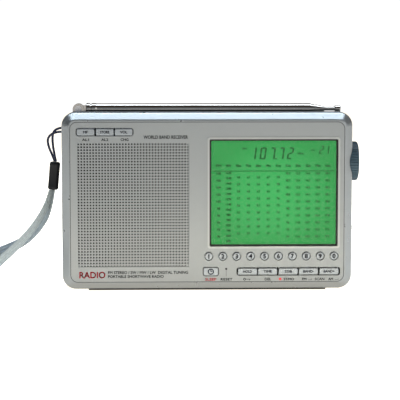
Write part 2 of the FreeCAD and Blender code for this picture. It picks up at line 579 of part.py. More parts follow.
def aerial_parts():
    x, y, z = AERIAL_PIVOT_X, AERIAL_Y, AERIAL_Z
    base = rod_z(x, y, 3.9, LEDGE_Z + 0.3, LEDGE_Z + 1.2)
    base = base.fuse(rod_z(x, y, TURRET_R, INSIDE_TOP - 1.6, LEDGE_Z + 1.0))
    base = base.fuse(rod_z(x, y, 3.6, INSIDE_TOP - 2.2, INSIDE_TOP - 1.0))
    for side in (-1, 1):
        y0, y1 = sorted((y + side * 1.9, y + side * 3.2))
        post = box(x - TURRET_EAR_R, x + TURRET_EAR_R, y0, y1, LEDGE_Z + 0.3, z)
        base = base.fuse([rod_y(x, z, TURRET_EAR_R, y0, y1), post])
    base = base.cut(rod_y(x, z, PIVOT_SCREW_R + RUNNING_FIT, y - 5, y + 5))
    save("aerial_base", base.removeSplitter())
    head_y = y - 3.2
    screw = rod_y(x, z, PIVOT_SCREW_R, head_y, y + 3.2).fuse(rod_y(x, z, 1.9, head_y - 0.5, head_y))
    save("aerial_pivot_screw", screw)
    collar = [
        (x + 4.4, 0), (x + 4.4, 2.9), (x + 4.8, 3.4), (x + 6.6, 3.4), (x + 6.8, 2.9), (x + 7.5, 2.9),
        (x + 7.7, 3.35), (x + 10.0, 3.35), (x + 10.4, AERIAL_RADII[0]),
        (x + 12.0, AERIAL_RADII[0]), (x + 12.0, 0),
    ]
    tongue = rod_y(x, z, 2.2, y - 1.6, y + 1.6).fuse(box(x, x + 5.0, y - 1.6, y + 1.6, z - 2.2, z + 2.2))
    tube = rod_x(y, z, AERIAL_RADII[0], x + 11.0, AERIAL_ENDS[0])
    tube = tube.cut(rod_x(y, z, AERIAL_BORES[0], x + 12.0, AERIAL_ENDS[0] + 1))
    outer = turned_x(collar, y, z).fuse([tongue, tube])
    pivot_hole = rod_y(x, z, PIVOT_SCREW_R + RUNNING_FIT, y - 5, y + 5)
    save("aerial_section_1", outer.cut(pivot_hole).removeSplitter())
    for i in range(1, 5):
        start = x + 12.6 + 0.6 * i
        tube = rod_x(y, z, AERIAL_RADII[i], start, AERIAL_ENDS[i])
        bore = rod_x(y, z, AERIAL_BORES[i], start - 1, AERIAL_ENDS[i] + 1)
        save(f"aerial_section_{i + 1}", tube.cut(bore))
    tip_rod = rod_x(y, z, AERIAL_BORES[4] - RUNNING_FIT, x + 16.0, AERIAL_TIP[0] + 0.5)
    tip = rod_x(y, z, 1.85, *AERIAL_TIP)
    tip = tip.makeFillet(0.6, [e for e in tip.Edges if e.Closed])
    save("aerial_section_6", tip_rod.fuse(tip))


def screws():
    made = []
    for x, z in SCREWS:
        screw = rod_y(x, z, SCREW_R, -5.4, 8.2)
        screw = screw.fuse(rod_y(x, z, SCREW_HEAD_R, SCREW_HEAD_Y, 9.8))
        cross = box(x - 1.2, x + 1.2, 9.0, 11, z - 0.25, z + 0.25)
        made.append(screw.cut([cross, cross.rotated(V(x, 0, z), V(0, 1, 0), 90)]))
    return made


def tube_along(name, route, radius):
    """A round tube along straight runs joined by tangent arcs as large as the runs allow."""
    points = [V(*p) for p in route]
    edges = []
    start = points[0]
    radii = []
    for before, corner, after in zip(points, points[1:], points[2:]):
        run_in = corner - before
        run_out = after - corner
        turn = run_in.getAngle(run_out)
        reach = 0.45 * min(run_in.Length, run_out.Length)
        radii.append(reach / math.tan(turn / 2))
        a = corner - V(run_in).normalize() * reach
        b = corner + V(run_out).normalize() * reach
        middle_way = (a + b) * 0.5 - corner
        sagitta_point = corner + V(middle_way).normalize() * (
            radii[-1] / math.cos(turn / 2) - radii[-1]
        )
        edges.append(Part.LineSegment(start, a).toShape())
        edges.append(Part.Arc(a, sagitta_point, b).toShape())
        start = b
    edges.append(Part.LineSegment(start, points[-1]).toShape())
    path = Part.Wire(edges)
    first = (points[1] - points[0]).normalize()
    section = Part.Wire([Part.Circle(points[0], first, radius).toShape()])
    tube = path.makePipeShell([section], True, False)
    plain = math.pi * radius**2 * path.Length
    print(f"{name}: length {path.Length:.1f}, volume over section times length {tube.Volume / plain:.4f}")
    print("  arc radii", [round(r, 1) for r in radii])
    return tube


def strap_parts():
    x, _, z = STRAP_PIN
    save("strap_pin", rod_y(x, z, STRAP_PIN_R, 0.9, 7.9))
    save("strap_cord", tube_along("strap_cord", CORD_ROUTE, CORD_R))
    top = V(*SLEEVE_TOP)
    along = V(*SLEEVE_BOTTOM) - top
    half_w, half_d = SLEEVE_WIDTH / 2, SLEEVE_DEPTH / 2
    sleeve = rounded_plate((-half_w, half_w, -along.Length, 0), 1.2, -half_d, half_d)
    sleeve = sleeve.makeFillet(1.0, edges_at_y(sleeve, -half_d) + edges_at_y(sleeve, half_d))
    lean = math.degrees(math.atan2(along.x, -along.z))
    sleeve.rotate(V(0, 0, 0), V(0, 1, 0), lean)
    sleeve.translate(top)
    save("strap_sleeve", sleeve)
    save("strap_webbing", tube_along("strap_webbing", WEBBING_ROUTE, WEBBING_R))


def main():
    os.makedirs("parts", exist_ok=True)
    save("face_panel", face_panel())
    save("speaker_grille", speaker_grille())
    save("front_cabinet", front_cabinet())
    save("rear_cabinet", rear_cabinet())
    save("foot_pad", box(-68.0, 68.0, -10.0, 10.0, 0, CASE_BOTTOM))
    display_parts()
    save("speaker_cloth", box(-76.0, -9.0, INSIDE_FRONT_Y, INSIDE_FRONT_Y + 0.3, 12.0, 86.4))
    speaker_parts()
    main_board_parts()
    key_support_parts()
    for name, x, z, w, h in key_centres():
        save(name, key(x, z, w, h))
    tuning_parts()
    side_control_parts()
    jack_parts()
    battery_parts()
    save("battery_door", battery_door())
    save("stand", stand())
    aerial_parts()
    save("case_screws", *screws())
    strap_parts()


main()
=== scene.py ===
import json
import math

import bmesh
import bpy
from mathutils import Matrix, Vector


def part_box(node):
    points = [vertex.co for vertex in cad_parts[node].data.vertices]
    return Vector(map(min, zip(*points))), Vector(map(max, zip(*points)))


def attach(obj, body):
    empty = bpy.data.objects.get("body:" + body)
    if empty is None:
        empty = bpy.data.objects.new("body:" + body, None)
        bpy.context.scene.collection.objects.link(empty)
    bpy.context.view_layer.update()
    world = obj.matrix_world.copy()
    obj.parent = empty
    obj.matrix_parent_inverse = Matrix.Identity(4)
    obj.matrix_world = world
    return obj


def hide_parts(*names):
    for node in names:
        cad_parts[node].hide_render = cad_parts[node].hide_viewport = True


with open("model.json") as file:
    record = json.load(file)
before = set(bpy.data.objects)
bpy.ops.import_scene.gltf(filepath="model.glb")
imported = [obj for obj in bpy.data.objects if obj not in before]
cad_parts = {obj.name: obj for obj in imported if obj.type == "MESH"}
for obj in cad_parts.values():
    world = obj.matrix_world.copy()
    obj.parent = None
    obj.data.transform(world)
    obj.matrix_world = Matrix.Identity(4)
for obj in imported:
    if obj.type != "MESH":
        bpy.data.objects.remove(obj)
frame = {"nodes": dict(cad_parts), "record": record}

# Looks of a portable world-band radio. Lengths named *_MM are millimetres; Blender's are metres.
MM = 0.001
NODES = frame["nodes"]
BODY_OF = {n: b for b, nodes in frame["record"]["behaviour"]["bodies"].items() for n in nodes}
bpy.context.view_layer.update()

PANEL_LOW, PANEL_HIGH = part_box("face_panel")
FACE_Y = PANEL_LOW.y
INK_LIFT = 0.02 * MM
INK_DEPTH = 0.012 * MM


# ---------------------------------------------------------------- materials

NOISE_DETAIL = 3.0
NOISE_LOW, NOISE_HIGH = 0.3, 0.7    # the span in which most of a noise texture's values lie
WAVE_PERIOD = 0.314                 # length of one band of a wave texture whose scale is 1
UNLIT_SHARE = 0.1                   # how bright a glowing surface's own colour is beside its glow
CELL_LENGTH = 50.5 * MM
CELL_DARK = (0.05, 0.06, 0.08)
CELL_COPPER = (0.55, 0.27, 0.10)
LCD_CENTRE = (0.026, 0.350, 0.078)
LCD_MIDDLE = (0.022, 0.305, 0.068)
LCD_EDGE = (0.015, 0.235, 0.048)
LCD_FALLOFF_ASPECT = 1.15           # the glow falls off this much faster upwards than sideways


def material(name, color, roughness, metallic=0.0, **sockets):
    """A Principled material; extra sockets are named with underscores for spaces."""
    made = bpy.data.materials.new(name)
    made.use_nodes = True
    shader = made.node_tree.nodes["Principled BSDF"]
    shader.inputs["Base Color"].default_value = (*color, 1)
    shader.inputs["Roughness"].default_value = roughness
    shader.inputs["Metallic"].default_value = metallic
    for socket, value in sockets.items():
        shader.inputs[socket.replace("_", " ")].default_value = value
    return made


def shader_of(made):
    return made.node_tree.nodes["Principled BSDF"]


def add_node(made, kind, **settings):
    node = made.node_tree.nodes.new(kind)
    for key, value in settings.items():
        setattr(node, key, value)
    return node


def link(made, source, target):
    made.node_tree.links.new(source, target)


def noise(made, scale, stretch=(1, 1, 1)):
    """A noise value in the object's own metres; scale is in features per metre."""
    place = add_node(made, "ShaderNodeTexCoord")
    mapping = add_node(made, "ShaderNodeMapping")
    mapping.inputs["Scale"].default_value = stretch
    texture = add_node(made, "ShaderNodeTexNoise")
    texture.inputs["Scale"].default_value = scale
    texture.inputs["Detail"].default_value = NOISE_DETAIL
    link(made, place.outputs["Object"], mapping.inputs["Vector"])
    link(made, mapping.outputs["Vector"], texture.inputs["Vector"])
    return texture.outputs["Fac"]


def ramp(made, value, stops):
    """A colour ramp; stops are (place, colour)."""
    node = add_node(made, "ShaderNodeValToRGB")
    band = node.color_ramp
    while len(band.elements) < len(stops):
        band.elements.new(0.5)
    for element, (place, color) in zip(band.elements, stops):
        element.position = place
        element.color = (*color, 1)
    link(made, value, node.inputs["Fac"])
    return node.outputs["Color"]


def shade(color, factor):
    return tuple(min(1.0, c * factor) for c in color)


def mottle(made, color, amount, scale, stretch=(1, 1, 1)):
    """Varies the base colour a little either way."""
    value = noise(made, scale, stretch=stretch)
    stops = [(NOISE_LOW, shade(color, 1 - amount)), (NOISE_HIGH, shade(color, 1 + amount))]
    tinted = ramp(made, value, stops)
    link(made, tinted, shader_of(made).inputs["Base Color"])
    return made


def rough_noise(made, low, high, scale, stretch=(1, 1, 1)):
    """Lets the roughness wander between two values."""
    value = noise(made, scale, stretch=stretch)
    levels = ramp(made, value, [(NOISE_LOW, (low,) * 3), (NOISE_HIGH, (high,) * 3)])
    link(made, levels, shader_of(made).inputs["Roughness"])
    return made


def bumpy(made, value, strength, distance):
    """Adds a bump whose full height is the distance, in metres."""
    node = add_node(made, "ShaderNodeBump")
    node.inputs["Strength"].default_value = strength
    node.inputs["Distance"].default_value = distance
    link(made, value, node.inputs["Height"])
    link(made, node.outputs["Normal"], shader_of(made).inputs["Normal"])
    return made


def metallic_paint(name, color, roughness, metallic):
    """Silver paint: fine metal flakes, a faint orange-peel and slightly uneven gloss."""
    made = material(name, color, roughness, metallic, Coat_Weight=0.15, Coat_Roughness=0.25)
    mottle(made, color, 0.07, 5200)
    rough_noise(made, roughness - 0.05, roughness + 0.05, 240)
    return bumpy(made, noise(made, 2600), 0.12, 0.02 * MM)


def moulded(name, color, roughness, grain=1500, specular=0.5):
    """Moulded plastic or rubber with a fine spark-eroded grain."""
    made = material(name, color, roughness, Specular_IOR_Level=specular)
    mottle(made, color, 0.10, 420)
    rough_noise(made, roughness - 0.08, roughness + 0.08, 900)
    return bumpy(made, noise(made, grain), 0.25, 0.03 * MM)


def brushed(name, color, roughness, stretch=(0.04, 1, 1)):
    """Metal with fine lengthwise streaks."""
    made = material(name, color, roughness, 1.0)
    mottle(made, color, 0.06, 2400, stretch)
    rough_noise(made, roughness * 0.6, roughness * 1.5, 1900, stretch)
    return bumpy(made, noise(made, 2600, stretch=stretch), 0.05, 0.01 * MM)


def woven(name, color, pitch, depth, sheen=0.2):
    """Tight weave: two crossed sets of ridges at the pitch given."""
    made = material(name, color, 0.85, Sheen_Weight=sheen, Sheen_Roughness=0.5)
    mottle(made, color, 0.13, 900)
    place = add_node(made, "ShaderNodeTexCoord")
    waves = []
    for direction in ("X", "Z"):
        wave = add_node(made, "ShaderNodeTexWave", bands_direction=direction)
        wave.inputs["Scale"].default_value = WAVE_PERIOD / pitch
        wave.inputs["Distortion"].default_value = 0.6
        link(made, place.outputs["Object"], wave.inputs["Vector"])
        waves.append(wave.outputs["Fac"])
    crossed = add_node(made, "ShaderNodeMath", operation="MULTIPLY")
    link(made, waves[0], crossed.inputs[0])
    link(made, waves[1], crossed.inputs[1])
    return bumpy(made, crossed.outputs[0], 0.5, depth)


def glowing(name, color):
    """A surface lit from behind, with a dull front."""
    return material(
        name, shade(color, UNLIT_SHARE), 0.6,
        Specular_IOR_Level=0.1, Emission_Color=(*color, 1), Emission_Strength=1.0,
    )


def liquid_crystal():
    """Green backlight, brightest at the middle and falling off towards the edges."""
    made = glowing("lcd_green", (0.05, 0.5, 0.11))
    low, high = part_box("display_mask")
    centre = (low + high) / 2
    place = add_node(made, "ShaderNodeTexCoord")
    mapping = add_node(made, "ShaderNodeMapping")
    spread = 2.0 / (high.x - low.x)
    rise = spread * LCD_FALLOFF_ASPECT
    mapping.inputs["Location"].default_value = (-centre.x * spread, 0, -centre.z * rise)
    mapping.inputs["Scale"].default_value = (spread, 0, rise)
    distance = add_node(made, "ShaderNodeVectorMath", operation="LENGTH")
    link(made, place.outputs["Object"], mapping.inputs["Vector"])
    link(made, mapping.outputs["Vector"], distance.inputs[0])
    stops = [(0.0, LCD_CENTRE), (0.6, LCD_MIDDLE), (1.0, LCD_EDGE)]
    link(made, ramp(made, distance.outputs["Value"], stops), shader_of(made).inputs["Emission Color"])
    return made


def clear_window():
    """Thin clear plastic: it hardly shows, apart from a faint gloss."""
    return material("display_clear", (0.25, 0.30, 0.27), 0.06, Alpha=0.03, Specular_IOR_Level=0.12)


def cell_wrap():
    """Printed cell wrap: dark along the body and copper at one end of each cell."""
    made = material("cell_wrap", CELL_DARK, 0.3, 0.4)
    place = add_node(made, "ShaderNodeTexCoord")
    split = add_node(made, "ShaderNodeSeparateXYZ")
    wrap = add_node(made, "ShaderNodeMath", operation="PINGPONG")
    wrap.inputs[1].default_value = CELL_LENGTH
    link(made, place.outputs["Object"], split.inputs["Vector"])
    link(made, split.outputs["X"], wrap.inputs[0])
    scaled = add_node(made, "ShaderNodeMath", operation="MULTIPLY")
    scaled.inputs[1].default_value = 1 / CELL_LENGTH
    link(made, wrap.outputs[0], scaled.inputs[0])
    stops = [(0.0, CELL_DARK), (0.66, CELL_DARK), (0.67, CELL_COPPER)]
    link(made, ramp(made, scaled.outputs[0], stops), shader_of(made).inputs["Base Color"])
    return rough_noise(made, 0.22, 0.36, 500)


PAINT = {
    "face_silver": metallic_paint("face_silver", (0.190, 0.203, 0.214), 0.44, 0.35),
    "case_silver": metallic_paint("case_silver", (0.205, 0.220, 0.232), 0.32, 0.70),
    "key_silver": metallic_paint("key_silver", (0.205, 0.224, 0.248), 0.30, 0.4),
    "bright_trim": metallic_paint("bright_trim", (0.275, 0.285, 0.285), 0.34, 0.5),
    "aerial_chrome": brushed("aerial_chrome", (0.32, 0.305, 0.29), 0.14),
    "display_clear": clear_window(),
    "lcd_green": liquid_crystal(),
    "black_plastic": moulded("black_plastic", (0.004, 0.004, 0.005), 0.42, specular=0.22),
    "knob_grip": moulded("knob_grip", (0.022, 0.042, 0.060), 0.48, specular=0.25),
    "dark_rubber": moulded("dark_rubber", (0.02, 0.02, 0.02), 0.75),
    "board_green": moulded("board_green", (0.02, 0.12, 0.05), 0.35),
    "diffuser_white": moulded("diffuser_white", (0.75, 0.80, 0.76), 0.5),
    "speaker_steel": brushed("speaker_steel", (0.45, 0.45, 0.44), 0.35, (1, 1, 1)),
    "cone_paper": moulded("cone_paper", (0.03, 0.03, 0.03), 0.9, 900),
    "dust_cloth": woven("dust_cloth", (0.006, 0.006, 0.008), 0.4 * MM, 0.05 * MM, 0.0),
    "ferrite": moulded("ferrite", (0.05, 0.05, 0.055), 0.6),
    "screw_steel": brushed("screw_steel", (0.42, 0.42, 0.43), 0.3, (1, 1, 1)),
    "contact_nickel": brushed("contact_nickel", (0.62, 0.60, 0.55), 0.25, (1, 1, 1)),
    "cell_wrap": cell_wrap(),
    "cord_navy": woven("cord_navy", (0.005, 0.009, 0.034), 0.35 * MM, 0.06 * MM, 0.1),
    "webbing_grey": woven("webbing_grey", (0.21, 0.25, 0.28), 0.55 * MM, 0.08 * MM),
}
# Dark ink for the printing, also used for the painted shade disc over the reset hole.
DARK_INK_AND_PAINTED_SHADE = moulded("dark_ink_and_painted_shade", (0.006, 0.007, 0.010), 0.6, specular=0.1)
INK_RED = moulded("ink_red", (0.42, 0.008, 0.02), 0.5)
INK_KEY = moulded("ink_key", (0.004, 0.006, 0.016), 0.55, specular=0.1)
LCD_INK = glowing("lcd_ink", (0.006, 0.070, 0.017))
LCD_FAINT = glowing("lcd_faint", (0.007, 0.080, 0.018))


def dress_cad_nodes():
    """Gives every CAD node the paint of its material slot."""
    slots = {row["node"]: row["material_slot"] for row in frame["record"]["subparts"]}
    for name, piece in NODES.items():
        piece.data.materials.clear()
        piece.data.materials.append(PAINT[slots[name]])


# ---------------------------------------------------------------- mesh helpers

def mesh_from(name, bm):
    """Turns a bmesh into a mesh with its faces turned outwards, and frees the bmesh."""
    mesh = bpy.data.meshes.new(name)
    bmesh.ops.recalc_face_normals(bm, faces=bm.faces)
    bm.to_mesh(mesh)
    bm.free()
    return mesh


def piece_from(name, bm, paint, body):
    """Makes an object from a bmesh and lets it ride on a body."""
    mesh = mesh_from(name, bm)
    mesh.materials.append(paint)
    piece = bpy.data.objects.new(name, mesh)
    bpy.context.scene.collection.objects.link(piece)
    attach(piece, body)
    return piece


def smooth(piece, angle):
    """Shades smoothly across edges flatter than the angle, in degrees."""
    piece.data.shade_smooth()
    piece.data.set_sharp_from_angle(angle=math.radians(angle))
    return piece


def prism(bm, outline, y0, y1):
    """A closed prism from an outline of (x, z) points, between two depths."""
    front = [bm.verts.new((x, y0, z)) for x, z in outline]
    back = [bm.verts.new((x, y1, z)) for x, z in outline]
    bm.faces.new(front)
    bm.faces.new(back[::-1])
    for i in range(len(front)):
        j = (i + 1) % len(front)
        bm.faces.new((front[i], back[i], back[j], front[j]))


def circle(x, z, r, count, start=0.0):
    """Points round a circle, the first of them at the start angle."""
    angles = [start + 2 * math.pi * i / count for i in range(count)]
    return [(x + r * math.cos(a), z + r * math.sin(a)) for a in angles]


def bar(x0, x1, z0, z1):
    """The corners of an upright rectangle."""
    return [(x0, z0), (x1, z0), (x1, z1), (x0, z1)]


def ring_plate(bm, x, z, r_out, r_in, y0, y1, count=48):
    """A flat washer, as one closed solid."""
    loops = []
    for y in (y0, y1):
        for r in (r_out, r_in):
            loops.append([bm.verts.new((px, y, pz)) for px, pz in circle(x, z, r, count)])
    front_out, front_in, back_out, back_in = loops
    for i in range(count):
        j = (i + 1) % count
        bm.faces.new((front_out[i], front_out[j], front_in[j], front_in[i]))
        bm.faces.new((back_out[j], back_out[i], back_in[i], back_in[j]))
        bm.faces.new((front_out[j], front_out[i], back_out[i], back_out[j]))
        bm.faces.new((front_in[i], front_in[j], back_in[j], back_in[i]))


def lettering(bm, words, x, z, height, y, width=None, align="CENTER", bold=0.0):
    """Adds words facing the front; (x, z) is the middle of the letters' height, all in metres.

    Bold letters are drawn four times, each moved a little, which makes their strokes wider."""
    curve = bpy.data.curves.new("letters", "FONT")
    curve.body = words
    curve.extrude = 0.5
    curve.resolution_u = 3
    holder = bpy.data.objects.new("letters", curve)
    bpy.context.scene.collection.objects.link(holder)
    mesh = bpy.data.meshes.new_from_object(holder.evaluated_get(bpy.context.evaluated_depsgraph_get()))
    bpy.data.objects.remove(holder)
    xs = [v.co.x for v in mesh.vertices]
    ys = [v.co.y for v in mesh.vertices]
    tall = height / (max(ys) - min(ys))
    wide = tall if width is None else width / (max(xs) - min(xs))
    anchor = {"LEFT": min(xs), "CENTER": (min(xs) + max(xs)) / 2}[align]
    middle = (min(ys) + max(ys)) / 2
    for v in mesh.vertices:
        v.co = Vector((x + (v.co.x - anchor) * wide, y - v.co.z * INK_DEPTH, z + (v.co.y - middle) * tall))
    moves = ((bold, 0), (-2 * bold, 0), (bold, bold), (0, -2 * bold)) if bold else ((0, 0),)
    for dx, dz in moves:
        mesh.transform(Matrix.Translation((dx, 0, dz)))
        bm.from_mesh(mesh)
    bpy.data.meshes.remove(mesh)


def mm(*values):
    """Millimetres to metres."""
    return tuple(v * MM for v in values)


# ---------------------------------------------------------------- camera, stage and light

CAMERA_AZIMUTH = math.radians(-1.6)
CAMERA_ELEVATION = math.radians(5.5)
CAMERA_DISTANCE = 0.90
CAMERA_LENS = 142.4
CAMERA_TARGET_X, CAMERA_TARGET_Z = -4.29 * MM, 52.19 * MM
SENSOR_WIDTH = 36
HORIZON_WHITE = (1.0, 1.0, 1.0)
ROOM_COOL = (0.34, 0.40, 0.46)
ROOM_DIM = (0.17, 0.16, 0.15)
ROOM_BROWN = (0.085, 0.060, 0.042)
ROOM_LEFT = (0.06, 0.065, 0.07)
SKY_STRENGTH = 1.05
FLOOR_COLOR = (0.80, 0.80, 0.79)
FLOOR_WARMTH = (1.0, 0.93, 0.80)
FLOOR_GLOW = 1.12
FLOOR_HALF_WIDTH, FLOOR_THICKNESS = 2.0, 0.02
FLOOR_FRONT_Y, FLOOR_BACK_Y = -2.0, 2.5


def make_camera():
    """Looks at the face from a little above and to the left."""
    target = Vector((CAMERA_TARGET_X, FACE_Y, CAMERA_TARGET_Z))
    away = Vector((
        math.sin(CAMERA_AZIMUTH) * math.cos(CAMERA_ELEVATION),
        -math.cos(CAMERA_AZIMUTH) * math.cos(CAMERA_ELEVATION),
        math.sin(CAMERA_ELEVATION),
    ))
    data = bpy.data.cameras.new("camera")
    data.lens = CAMERA_LENS
    data.sensor_width = SENSOR_WIDTH
    data.clip_start = 0.01
    camera = bpy.data.objects.new("camera", data)
    camera.location = target + away * CAMERA_DISTANCE
    camera.rotation_mode = "QUATERNION"
    camera.rotation_quaternion = (-away).to_track_quat("-Z", "Y")
    bpy.context.scene.collection.objects.link(camera)
    bpy.context.scene.camera = camera


def make_floor():
    """A pale slab with its top at height 0, a little brighter than the light makes it."""
    bm = bmesh.new()
    slab = bar(-FLOOR_HALF_WIDTH, FLOOR_HALF_WIDTH, -FLOOR_THICKNESS, 0.0)
    prism(bm, slab, FLOOR_FRONT_Y, FLOOR_BACK_Y)
    mesh = mesh_from("floor", bm)
    paint = material("floor_pale", FLOOR_COLOR, 0.85)
    mottle(paint, FLOOR_COLOR, 0.01, 30)
    shader_of(paint).inputs["Emission Color"].default_value = (*FLOOR_WARMTH, 1)
    shader_of(paint).inputs["Emission Strength"].default_value = FLOOR_GLOW
    mesh.materials.append(paint)
    floor = bpy.data.objects.new("floor", mesh)
    bpy.context.scene.collection.objects.link(floor)


def make_light(name, place, aim, size, energy, color, glossy=True):
    """An area light that the camera doesn't see."""
    data = bpy.data.lights.new(name, "AREA")
    data.shape = "RECTANGLE"
    data.size, data.size_y = size
    data.energy = energy
    data.color = color
    lamp = bpy.data.objects.new(name, data)
    lamp.location = place
    lamp.rotation_mode = "QUATERNION"
    lamp.rotation_quaternion = (Vector(aim) - Vector(place)).to_track_quat("-Z", "Y")
    lamp.visible_camera = False
    lamp.visible_glossy = glossy
    bpy.context.scene.collection.objects.link(lamp)


def make_world():
    """A thin white horizon, a cool room in front, brown walls behind and overhead, and a dark left."""
    world = bpy.data.worlds.new("studio")
    world.use_nodes = True
    bpy.context.scene.world = world
    place = add_node(world, "ShaderNodeTexCoord")
    split = add_node(world, "ShaderNodeSeparateXYZ")
    link(world, place.outputs["Generated"], split.inputs["Vector"])
    in_front = ramp(world, split.outputs["Z"], [
        (0.05, HORIZON_WHITE), (0.09, ROOM_COOL), (0.30, ROOM_COOL), (0.55, ROOM_DIM), (0.85, ROOM_BROWN),
    ])
    behind = ramp(world, split.outputs["Z"], [
        (0.05, HORIZON_WHITE), (0.09, ROOM_DIM), (0.25, ROOM_BROWN), (1.0, ROOM_BROWN),
    ])
    side = add_node(world, "ShaderNodeMapRange")
    side.inputs["From Min"].default_value = -0.10
    side.inputs["From Max"].default_value = 0.10
    link(world, split.outputs["Y"], side.inputs["Value"])
    mix = add_node(world, "ShaderNodeMix", data_type="RGBA")
    link(world, side.outputs["Result"], mix.inputs[0])
    link(world, in_front, mix.inputs[6])
    link(world, behind, mix.inputs[7])
    high_up = ramp(world, split.outputs["Z"], [(0.05, (0, 0, 0)), (0.10, (1, 1, 1))])
    to_left = add_node(world, "ShaderNodeMapRange")
    to_left.inputs["From Min"].default_value = -0.2
    to_left.inputs["From Max"].default_value = -0.7
    link(world, split.outputs["X"], to_left.inputs["Value"])
    left_dark = add_node(world, "ShaderNodeMath", operation="MULTIPLY")
    link(world, high_up, left_dark.inputs[0])
    link(world, to_left.outputs["Result"], left_dark.inputs[1])
    shaded = add_node(world, "ShaderNodeMix", data_type="RGBA")
    shaded.inputs[7].default_value = (*ROOM_LEFT, 1)
    link(world, left_dark.outputs[0], shaded.inputs[0])
    link(world, mix.outputs[2], shaded.inputs[6])
    background = world.node_tree.nodes["Background"]
    link(world, shaded.outputs[2], background.inputs["Color"])
    background.inputs["Strength"].default_value = SKY_STRENGTH


def make_stage():
    make_floor()
    make_world()
    centre = (0, 0, 0.05)
    make_light("top_soft", (0.0, 0.16, 1.3), centre, (1.6, 0.4), 27, (0.80, 0.91, 1.0))
    make_light("right_soft", (0.75, -0.75, 0.35), centre, (0.5, 0.4), 2.0, (1.0, 0.98, 0.94))
    low_strip = (0.03, -0.11, 0.008)
    straight_back = (0.03, 0, 0.008)
    make_light("front_low", low_strip, straight_back, (0.30, 0.012), 0.22, (1.0, 0.89, 0.66), glossy=False)


# ---------------------------------------------------------------- wrist strap

CORD_ROUTE_MM = (
    (-87.8, 5.4, 73.0), (-89.3, 5.4, 77.0), (-91.2, 5.4, 81.2), (-92.0, 5.3, 86.0), (-89.6, 5.2, 89.0),
    (-85.6, 5.2, 90.2), (-79.85, 5.2, 90.0), (-79.85, 3.6, 92.8), (-85.2, 3.6, 92.4), (-88.3, 3.5, 90.6),
    (-89.0, 3.5, 86.4), (-88.4, 3.5, 80.0), (-87.0, 3.5, 73.0),
)
CORD_DIAMETER_MM = 1.4
WEBBING_ROUTE_MM = (
    (-89.6, 2.9, 56.6), (-92.0, 2.7, 48.0), (-97.0, 2.3, 39.4), (-103.6, 1.4, 30.6), (-111.5, -0.4, 22.8),
    (-120.5, -3.4, 15.0), (-131.0, -6.6, 6.4), (-144.5, -8.4, 3.6), (-162.0, -8.8, 3.5),
    (-177.0, -4.2, 3.5), (-179.3, 8.0, 3.5), (-168.5, 15.0, 3.8), (-154.0, 13.6, 6.6),
    (-140.0, 11.6, 12.6), (-127.0, 9.8, 17.4), (-114.4, 8.6, 22.0), (-104.2, 7.8, 27.4),
    (-96.2, 7.2, 35.6), (-90.8, 6.6, 45.0), (-88.6, 6.0, 56.6),
)
WEBBING_WIDTH_MM = 6.6
WEBBING_THICKNESS_MM = 1.25
SLEEVE_TOP_MM = (-87.5, 4.4, 72.8)
SLEEVE_BOTTOM_MM = (-88.9, 4.4, 56.7)
SLEEVE_WIDTH_MM = 6.2
SLEEVE_DEPTH_MM = 5.2
WEBBING_RIBS = 4
WEBBING_RIB_STEPS = 10
WEBBING_RIB_SHARE = 0.4             # how much of the half thickness the ribs take up
WEBBING_EDGE_TAPER = 4.5
WEBBING_END_TURN = math.radians(62)
WEBBING_TURNED_SHARE = 0.30         # the share of the length, at each end, over which it turns upright
WEBBING_TURN_POWER = 0.7
# The sleeve's width along its length: plain in the middle, with a lip and a rounded edge at each end.
SLEEVE_PROFILE = (
    (0.0, 0.62), (0.012, 0.82), (0.05, 0.97), (0.10, 1.0), (0.13, 0.965), (0.5, 0.95),
    (0.87, 0.965), (0.90, 1.0), (0.95, 0.97), (0.988, 0.82), (1.0, 0.62),
)
SLEEVE_SIDES = 40
SLEEVE_SQUARENESS = 0.55            # 1 gives a round section, and less gives a squarer one


def route_curve(name, route_mm):
    """A smooth open curve with the route's points as its control points."""
    curve = bpy.data.curves.new(name, "CURVE")
    curve.dimensions = "3D"
    curve.resolution_u = 12
    spline = curve.splines.new("NURBS")
    spline.points.add(len(route_mm) - 1)
    for point, place in zip(spline.points, route_mm):
        point.co = (*mm(*place), 1)
    spline.order_u = 3
    spline.use_endpoint_u = True
    holder = bpy.data.objects.new(name, curve)
    bpy.context.scene.collection.objects.link(holder)
    return holder


def points_along(holder):
    """The points of a curve that has no bevel, in order."""
    bpy.context.view_layer.update()
    mesh = bpy.data.meshes.new_from_object(holder.evaluated_get(bpy.context.evaluated_depsgraph_get()))
    points = [v.co.copy() for v in mesh.vertices]
    bpy.data.meshes.remove(mesh)
    return points


def length_of(points):
    """The length of a line through the points."""
    return sum((b - a).length for a, b in zip(points, points[1:]))


def make_strap_cord():
    """The thin loop that hangs the strap on the pin in the case."""
    cord = route_curve("strap_cord_loop", CORD_ROUTE_MM)
    length = length_of(points_along(cord))
    cord.data.bevel_depth = CORD_DIAMETER_MM / 2 * MM
    cord.data.bevel_resolution = 5
    cord.data.use_fill_caps = True
    cord.data.materials.append(PAINT["cord_navy"])
    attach(cord, "case")
    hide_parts("strap_cord")


def webbing_section():
    """The band's outline as (across, out) points: ribs on both faces and round edges."""
    half_w = WEBBING_WIDTH_MM / 2 * MM
    half_t = WEBBING_THICKNESS_MM / 2 * MM
    across = []
    count = WEBBING_RIBS * WEBBING_RIB_STEPS
    for i in range(count + 1):
        t = i / count
        edge = math.sqrt(min(1.0, WEBBING_EDGE_TAPER * min(t, 1 - t)))
        rib = abs(math.sin(math.pi * WEBBING_RIBS * t))
        out = half_t * edge * (1 - WEBBING_RIB_SHARE + WEBBING_RIB_SHARE * rib)
        across.append((half_w * (2 * t - 1), out))
    face = across[1:-1]
    return [across[0]] + face + [across[-1]] + [(a, -o) for a, o in face[::-1]]


